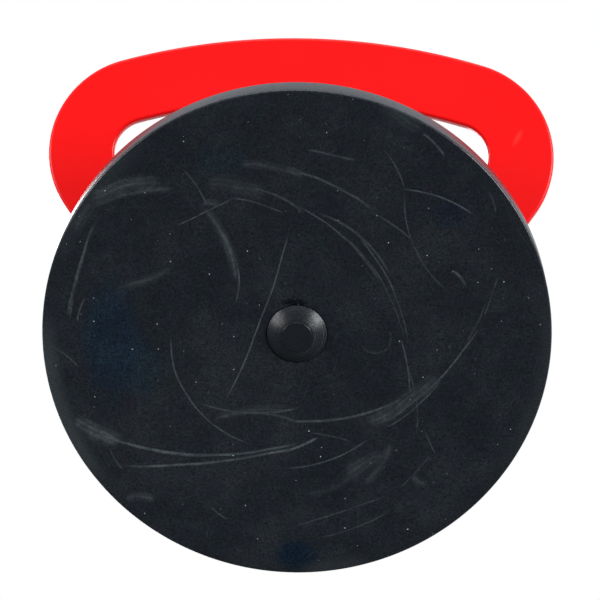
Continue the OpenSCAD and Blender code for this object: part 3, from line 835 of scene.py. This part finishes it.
def top_shell():
    shoulder, foot = shell_side(0)
    inner_shoulder, inner_foot = shell_side(SHELL_WALL)
    floor_z = SHELL_TOP - NUT_RECESS_DEPTH
    top_in = SHELL_TOP - SHELL_WALL
    recess = rounded(
        [
            (BOLT_HOLE_R, HUB_TOP),
            (BOLT_HOLE_R, floor_z),
            (NUT_RECESS_R, floor_z),
            (NUT_RECESS_R, SHELL_TOP),
            (SHELL_FLAT_R * 0.5, SHELL_TOP),
        ],
        [0, 0.2, 0.3, 0.8, 0],
        closed=False,
    )
    lip_in, lip_z, lip_top = LIP_R - LIP_WALL, POCKET_Z + 0.5, SKIRT_Z + LIP_H
    edge = 0.4
    hook = [
        (foot[-1][0] - edge, SKIRT_Z),
        (LIP_R, SKIRT_Z),
        (LIP_R, lip_z),
        (lip_in, lip_z),
        (lip_in, lip_top),
        (inner_foot[0][0], lip_top),
    ]
    post = [(HUB_POST_R, top_in), (HUB_POST_R, HUB_TOP)]
    loop = recess + shoulder + foot[:1] + [(foot[-1][0], SKIRT_Z + edge)]
    loop += hook + inner_foot[:1] + list(reversed(inner_shoulder)) + post
    return spin(loop, steps=240, closed=True)


def top_cap():
    rim_r = NUT_RECESS_R + DOME_LAP
    dome_r = (rim_r**2 + DOME_H**2) / (2 * DOME_H)
    skirt = NUT_RECESS_R - CAP_FIT
    centre_z = SHELL_TOP + DOME_H - dome_r + DOME_EDGE
    n = 24
    radii = [rim_r * k / n for k in range(n + 1)]
    dome = [(r, centre_z + math.sqrt(dome_r**2 - r**2)) for r in radii]
    under = rounded(
        [
            dome[-1],
            (rim_r, SHELL_TOP),
            (skirt, SHELL_TOP),
            (skirt, SHELL_TOP - DOME_SKIRT_H),
            (skirt - DOME_SKIRT_WALL, SHELL_TOP - DOME_SKIRT_H),
            (skirt - DOME_SKIRT_WALL, SHELL_TOP + DOME_HOLLOW),
            (0.0, SHELL_TOP + DOME_HOLLOW),
        ],
        [0, 0.3, 0.2, 0.4, 0.3, 0.3, 0],
        closed=False,
    )
    return spin(dome[:-1] + under, steps=144)


def bumper():
    top = AXIS_Z - PLATE_T / 2 - GAP
    stem_z = SHELL_TOP - SHELL_WALL - 2
    profile = rounded(
        [
            (0.0, stem_z),
            (BUMPER_STEM_R, stem_z),
            (BUMPER_STEM_R, SHELL_TOP),
            (BUMPER_R, SHELL_TOP),
            (BUMPER_R, top),
            (0.0, top),
        ],
        [0, 0.5, 0, 0.3, 1.0, 0],
        steps=6,
        closed=False,
    )
    return spin(profile, steps=48)


def at_places(solid, places):
    return [moved(solid, Matrix.Translation((x, y, 0))) for x, y in places]


def hexagon(flat, r=1e9):
    """Radius of a hexagon, flat being half its width across flats, cut by a circle of radius r."""

    def radius(a):
        off = (a + math.pi / 6) % (math.pi / 3) - math.pi / 6
        return min(flat / math.cos(off), r)

    return radius


def button_head(base_z, head_r, height, socket, depth, tail):
    """A domed head with a hexagon socket, above its shank's profile."""
    wall, flat_r = 0.35, socket + 0.9
    dome = [(head_r, base_z), (head_r, base_z + wall * height)]
    n = 8
    for k in range(1, n + 1):
        t = math.pi / 2 * k / n
        r = flat_r + (head_r - flat_r) * math.cos(t)
        dome.append((r, base_z + height * (wall + (1 - wall) * math.sin(t))))
    top = base_z + height
    well = [
        (socket / math.cos(math.pi / 6) + 0.25, top),
        (hexagon(socket), top - 0.25),
        (hexagon(socket), top - depth),
        (socket * 0.55, top - depth - 0.1),
        (0.0, top - depth - 0.5),
    ]
    return spin(tail + dome + well, steps=96)


def bracket_screw():
    z = SHELL_TOP + BRACKET_T
    tip_z = z - SCREW_LEN
    tail = [(0.0, tip_z), (2.2, tip_z), (THREAD_R, tip_z + 0.5)]
    for k in range(9):
        crest_z = tip_z + 0.7 + k * PITCH
        tail += [(THREAD_R, crest_z), (THREAD_R - THREAD_DEPTH, crest_z + PITCH / 2)]
    tail += [(THREAD_R, z - 0.6), (THREAD_R, z)]
    return button_head(z, head_r=4.6, height=2.8, socket=1.5, depth=1.7, tail=tail)


def cheek_radius(inset_by=0.0):
    """Radius of the cheek's outline about the pivot: round above, wider at the base."""
    half, low, top_half, top = 11.0, AXIS_Z - SHELL_TOP, 6.5, 4.0
    slope = Vector((low + top, half - top_half)).normalized()
    reach = slope.x * half - slope.y * low

    def radius(a):
        # the solid is later laid along X, which takes its angle a to (z, y) = (-cos a, sin a)
        dy, dz = math.sin(a), -math.cos(a)
        lengths = []
        if dz < -1e-9:
            lengths.append(low / -dz)
        if dz > 1e-9:
            lengths.append(top / dz)
        along = abs(dy) * slope.x + dz * slope.y
        if along > 1e-9:
            lengths.append(reach / along)
        return max(CHEEK_R, min(lengths)) - inset_by

    return radius


def cheek(x):
    """A bracket's upright plate, from x outwards."""
    e = 0.4
    profile = [
        (BUSH_BORE, 0.0),
        (cheek_radius(e), 0.0),
        (cheek_radius(e * 0.3), e * 0.3),
        (cheek_radius(), e),
        (cheek_radius(), BRACKET_T - e),
        (cheek_radius(e * 0.3), BRACKET_T - e * 0.3),
        (cheek_radius(e), BRACKET_T),
        (BUSH_BORE, BRACKET_T),
    ]
    return moved(spin(profile, steps=96, closed=True), lying(x))


def bracket():
    corner_r, edge = 3.2, 0.4
    y = BRACKET_LEN
    corners = [(BRACKET_IN, -y), (BRACKET_OUT, -y), (BRACKET_OUT, y), (BRACKET_IN, y)]
    flat = plate(rounded(corners, corner_r, steps=8), BRACKET_T, edge, steps=3)
    base = moved(flat, Matrix.Translation((0, 0, SHELL_TOP + BRACKET_T / 2)))
    return [base, cheek(BRACKET_IN), cheek(CHEEK_OUT)]


def pivot_bolt():
    length = BRACKET_OUT - BRACKET_IN
    tip_z = -length - (WASHER_T + NUT_T + 1)
    tail = [(0.0, tip_z), (2.1, tip_z), (THREAD_R, tip_z + 0.5)]
    for k in range(7):
        crest_z = tip_z + 0.7 + k * PITCH
        tail += [(THREAD_R, crest_z), (THREAD_R - THREAD_DEPTH, crest_z + PITCH / 2)]
    tail += [
        (THREAD_R, -length - 0.2),
        (THREAD_R, -length),
        (PIN_R - 0.1, -length),
        (PIN_R, -length + 0.2),
        (PIN_R, 0.0),
    ]
    bolt = button_head(0.0, head_r=6.0, height=3.2, socket=2.0, depth=1.9, tail=tail)
    return moved(bolt, lying(BRACKET_OUT))


def ring_profile(inner, outer, t, edge):
    return rounded([(inner, 0.0), (outer, 0.0), (outer, t), (inner, t)], edge, steps=4)


def lying_ring(x, inner, outer, t, edge=0.2):
    return moved(spin(ring_profile(inner, outer, t, edge), steps=96, closed=True), lying(x))


def wave_ring(x):
    """A spring washer, pressed nearly flat, with three low waves."""
    t, waves = 0.5, 3
    profile = ring_profile(PIN_R + 0.3, BUSH_FLANGE_R - 0.2, t, 0.12)
    verts, faces = spin(profile, steps=96, closed=True)
    rise = (WAVE_T - t) / 2
    waved = [(a, b, c + rise * (1 + math.cos(waves * math.atan2(b, a)))) for a, b, c in verts]
    return moved((waved, faces), lying(x))


def lock_nut(x):
    """A hexagon nut with chamfered corners and a locking collar that faces inboard."""
    collar_r = NUT_FLAT * 0.86
    body = [
        (THREAD_R + 0.02, 0.0),
        (THREAD_R + 0.5, 0.0),
        (NUT_FLAT * 0.78, 0.0),
        (collar_r, 0.15),
        (collar_r, NUT_COLLAR),
        (hexagon(NUT_FLAT, NUT_FLAT + 0.08), NUT_COLLAR + 0.02),
        (hexagon(NUT_FLAT), NUT_COLLAR + 0.4),
        (hexagon(NUT_FLAT), NUT_T - 0.35),
        (hexagon(NUT_FLAT, NUT_FLAT + 0.1), NUT_T),
        (THREAD_R + 0.5, NUT_T),
        (THREAD_R + 0.02, NUT_T - 0.4),
    ]
    return moved(spin(body, steps=96, closed=True), lying(x))


def bush(x, outward):
    """A flanged bush; its sleeve runs from the flange into the lug."""
    sleeve = (LUG_OUT - LUG_IN) / 2 - 0.2
    profile = rounded(
        [
            (BUSH_BORE, -BUSH_FLANGE_T),
            (BUSH_FLANGE_R, -BUSH_FLANGE_T),
            (BUSH_FLANGE_R, 0.0),
            (BUSH_R - 0.02, 0.0),
            (BUSH_R - 0.02, sleeve),
            (BUSH_BORE, sleeve),
        ],
        [0.2, 0.25, 0.2, 0.0, 0.3, 0.2],
        steps=4,
    )
    solid = spin(profile, steps=96, closed=True)
    if outward:
        solid = moved(solid, Matrix.Rotation(math.pi, 4, "X"))
    return moved(solid, lying(x))


# ---------------------------------------------------------------- the handle
def loop_outline():
    """Outline of the loop and its tangs, counter-clockwise, in its own plane from the pivot axis."""
    reach = CROWN_R - CORNER_R
    crown_c = CROWN_V - CROWN_R
    corner_v = crown_c + math.sqrt(reach**2 - CORNER_X**2)
    side = math.pi / 2 - math.asin(CORNER_X / reach)
    inner_r = CORNER_R - BAND
    end_r = BAND / 2
    out = Vector((math.cos(CORNER_TURN), -math.sin(CORNER_TURN)))
    mid = Vector((CORNER_X, corner_v)) + out * (CORNER_R - end_r)
    end = Vector((mid.x - (mid.y - END_V) * math.tan(CORNER_TURN), END_V))
    start_in = Vector((CORNER_X, corner_v)) + out * inner_r
    foot_v = start_in.y - (start_in.x - LUG_IN) / math.tan(CORNER_TURN)
    half = arc(0, crown_c, CROWN_R, math.pi / 2, side, 24)
    half += arc(CORNER_X, corner_v, CORNER_R, side, -CORNER_TURN, 56)[1:]
    half += arc(end.x, end.y, end_r, -CORNER_TURN, -CORNER_TURN - END_TURN, 22)
    tang = [half[-1], (LUG_OUT - 0.4, CHEEK_R + 1.8), (LUG_OUT - 0.4, TANG_V)]
    half += rounded(tang, [0, 1.2, 0], closed=False)[1:]
    inner = [(LUG_IN + 0.4, TANG_V), (LUG_IN + 0.4, foot_v + 0.6), tuple(start_in)]
    half += rounded(inner, [0, 9.0, 0], steps=10, closed=False)
    half += arc(CORNER_X, corner_v, inner_r, -CORNER_TURN, side, 40)[1:]
    half += arc(0, crown_c, CROWN_R - BAND, side, math.pi / 2, 24)[1:]
    whole = half + [(-x, y) for x, y in reversed(half[1:-1])]
    return list(reversed(whole))


def handle_solids():
    lean = Matrix.Translation((0, 0, AXIS_Z)) @ Matrix.Rotation(LEAN, 4, "X")
    loop = moved(plate(loop_outline(), PLATE_T, PLATE_EDGE, steps=7, land=0.7), lean)
    lug = rounded(
        [(BUSH_R, 0.0), (LUG_R, 0.0), (LUG_R, LUG_OUT - LUG_IN), (BUSH_R, LUG_OUT - LUG_IN)],
        [0.3, 0.7, 0.7, 0.3],
        steps=5,
    )
    lug = moved(spin(lug, steps=96, closed=True), lying(LUG_IN))
    return [loop, lug, mirrored(lug)]


build("disc", [running_disc()], "stone", ["running_disc"], sharp=25)
build("hub_cap", [centre_cap()], "stone", ["centre_cap"], sharp=40)
build("shell", [top_shell()], "stone", ["top_shell"])
build("nut_cover", [top_cap()], "stone", ["top_cap"])
SIDES = [(sx, sy) for sx in (-1, 1) for sy in (-1, 1)]
FOUR_BUMPERS = [(sx * BUMPER_X, sy * BUMPER_Y) for sx, sy in SIDES]
FOUR_SCREWS = [(sx * SCREW_X, sy * SCREW_Y) for sx, sy in SIDES]
build("bumpers", at_places(bumper(), FOUR_BUMPERS), "stone", ["handle_bumpers"])
build("base_screws", at_places(bracket_screw(), FOUR_SCREWS), "stone", ["bracket_screws"])
build("loop_handle", handle_solids(), "handle", ["handle"], sharp=32)

WASHER_X = BRACKET_IN - WASHER_T
HINGE = {
    "bracket": ("stone", bracket()),
    "pivot_bolt": ("stone", [pivot_bolt()]),
    "pivot_washer": ("stone", [lying_ring(WASHER_X, THREAD_R + 0.1, WASHER_R, WASHER_T)]),
    "pivot_nut": ("stone", [lock_nut(WASHER_X - NUT_T)]),
    "wave_washer": ("stone", [wave_ring(CHEEK_OUT - WAVE_T)]),
    "bushes": ("handle", [bush(LUG_IN, False), bush(LUG_OUT, True)]),
}
for part, (body, solids) in HINGE.items():
    build(f"hinge_{part}_right", solids, body, [f"right_{part}"])
    build(f"hinge_{part}_left", [mirrored(s) for s in solids], body, [f"left_{part}"])


# ---------------------------------------------------------------- camera, as it looked at the running face
TILT, YAW, ROLL = math.radians(18.03), math.radians(0.48), math.radians(0.95)
DISTANCE = 1.2
LENS_MM = 183.6
AIM_RIGHT, AIM_UP = 0.00130, 0.01485

right = Vector((-1, 0, 0))
up = Vector((0, math.cos(TILT), math.sin(TILT)))
into = Vector((0, -math.sin(TILT), math.cos(TILT)))
right, into = (
    math.cos(YAW) * right + math.sin(YAW) * into,
    -math.sin(YAW) * right + math.cos(YAW) * into,
)
right, up = (
    math.cos(ROLL) * right + math.sin(ROLL) * up,
    -math.sin(ROLL) * right + math.cos(ROLL) * up,
)
disc_centre = Vector(((DISC_LO.x + DISC_HI.x) / 2, (DISC_LO.y + DISC_HI.y) / 2, DISC_LO.z))
camera_data = bpy.data.cameras.new("camera")
camera_data.lens = LENS_MM
camera_data.sensor_width = 36.0
camera_data.clip_start, camera_data.clip_end = 0.05, 40.0
camera = bpy.data.objects.new("camera", camera_data)
bpy.context.scene.collection.objects.link(camera)
camera.matrix_world = Matrix.Translation(
    disc_centre + right * AIM_RIGHT + up * AIM_UP - into * DISTANCE
) @ Matrix((right, up, -into)).transposed().to_4x4()
bpy.context.scene.camera = camera


# ---------------------------------------------------------------- floor, lights and surroundings
def pale_floor():
    """A pale floor under the stone. It is one-sided, because the camera looks up from beneath it."""
    size, drop = 7.0, 0.0002
    mesh = bpy.data.meshes.new("floor")
    z = DISC_LO.z - drop
    corners = [(-size, -size, z), (size, -size, z), (size, size, z), (-size, size, z)]
    mesh.from_pydata(corners, [], [(0, 1, 2, 3)])
    floor = bpy.data.objects.new("floor", mesh)
    bpy.context.scene.collection.objects.link(floor)
    material = bpy.data.materials.new("floor")
    material.use_nodes = True
    nt = material.node_tree
    shader = nt.nodes["Principled BSDF"]
    noise = nt.nodes.new("ShaderNodeTexNoise")
    noise.inputs["Scale"].default_value = 3.0
    ramp = nt.nodes.new("ShaderNodeMapRange")
    ramp.inputs["To Min"].default_value, ramp.inputs["To Max"].default_value = 0.80, 0.84
    nt.links.new(noise.outputs["Fac"], ramp.inputs["Value"])
    nt.links.new(ramp.outputs["Result"], shader.inputs["Base Color"])
    shader.inputs["Roughness"].default_value = 0.9
    shader.inputs["Specular IOR Level"].default_value = 0.1
    side = nt.nodes.new("ShaderNodeNewGeometry")
    clear = nt.nodes.new("ShaderNodeBsdfTransparent")
    pick = nt.nodes.new("ShaderNodeMixShader")
    nt.links.new(side.outputs["Backfacing"], pick.inputs[0])
    nt.links.new(shader.outputs["BSDF"], pick.inputs[1])
    nt.links.new(clear.outputs["BSDF"], pick.inputs[2])
    nt.links.new(pick.outputs["Shader"], nt.nodes["Material Output"].inputs["Surface"])
    mesh.materials.append(material)
    floor.visible_diffuse = floor.visible_glossy = floor.visible_shadow = False
    floor.visible_transmission = False


def surroundings(bright, dim, towards):
    """White to look at. As a light, bright on the side that towards points to and dim elsewhere."""
    world = bpy.data.worlds.new("studio")
    bpy.context.scene.world = world
    world.use_nodes = True
    nt = world.node_tree
    nt.nodes.clear()
    coord = nt.nodes.new("ShaderNodeTexCoord")
    dot = nt.nodes.new("ShaderNodeVectorMath")
    dot.operation = "DOT_PRODUCT"
    dot.inputs[1].default_value = towards
    nt.links.new(coord.outputs["Generated"], dot.inputs[0])
    fade = nt.nodes.new("ShaderNodeMapRange")
    fade.interpolation_type = "SMOOTHSTEP"
    given = {"From Min": -0.55, "From Max": 0.15, "To Min": dim, "To Max": bright}
    for key, x in given.items():
        fade.inputs[key].default_value = x
    nt.links.new(dot.outputs["Value"], fade.inputs["Value"])
    light = nt.nodes.new("ShaderNodeBackground")
    light.inputs["Color"].default_value = (0.96, 0.98, 1.06, 1)
    nt.links.new(fade.outputs["Result"], light.inputs["Strength"])
    seen = nt.nodes.new("ShaderNodeBackground")
    seen.inputs["Color"].default_value = (1, 1, 1, 1)
    path = nt.nodes.new("ShaderNodeLightPath")
    pick = nt.nodes.new("ShaderNodeMixShader")
    nt.links.new(path.outputs["Is Camera Ray"], pick.inputs[0])
    nt.links.new(light.outputs[0], pick.inputs[1])
    nt.links.new(seen.outputs[0], pick.inputs[2])
    out = nt.nodes.new("ShaderNodeOutputWorld")
    nt.links.new(pick.outputs["Shader"], out.inputs["Surface"])


def softbox(name, direction, distance, size, watts):
    """A square area light at distance from the stone, in that direction, facing it."""
    data = bpy.data.lights.new(name, "AREA")
    data.shape, data.size, data.energy = "SQUARE", size, watts
    light = bpy.data.objects.new(name, data)
    light.rotation_mode = "QUATERNION"
    back = Vector(direction).normalized()
    light.location = Vector((0, 0, 0.04)) + back * distance
    light.rotation_quaternion = (-back).to_track_quat("-Z", "Y")
    bpy.context.scene.collection.objects.link(light)


pale_floor()
surroundings(bright=0.60, dim=0.20, towards=into * 0.8 + up * 0.6)
softbox("key_left", -right * 0.84 + up * 0.28 - into * 0.44, 1.6, 0.8, 14.0)
softbox("key_right", right * 0.84 + up * 0.28 - into * 0.44, 1.6, 0.8, 24.0)
softbox("front_top", up * 0.95 - into * 0.22, 1.6, 1.0, 9.0)
softbox("top_soft", (0.4, -0.5, 1.2), 1.6, 1.0, 12.0)
bpy.context.scene.view_settings.view_transform = "Standard"
bpy.context.scene.view_settings.look = "None"
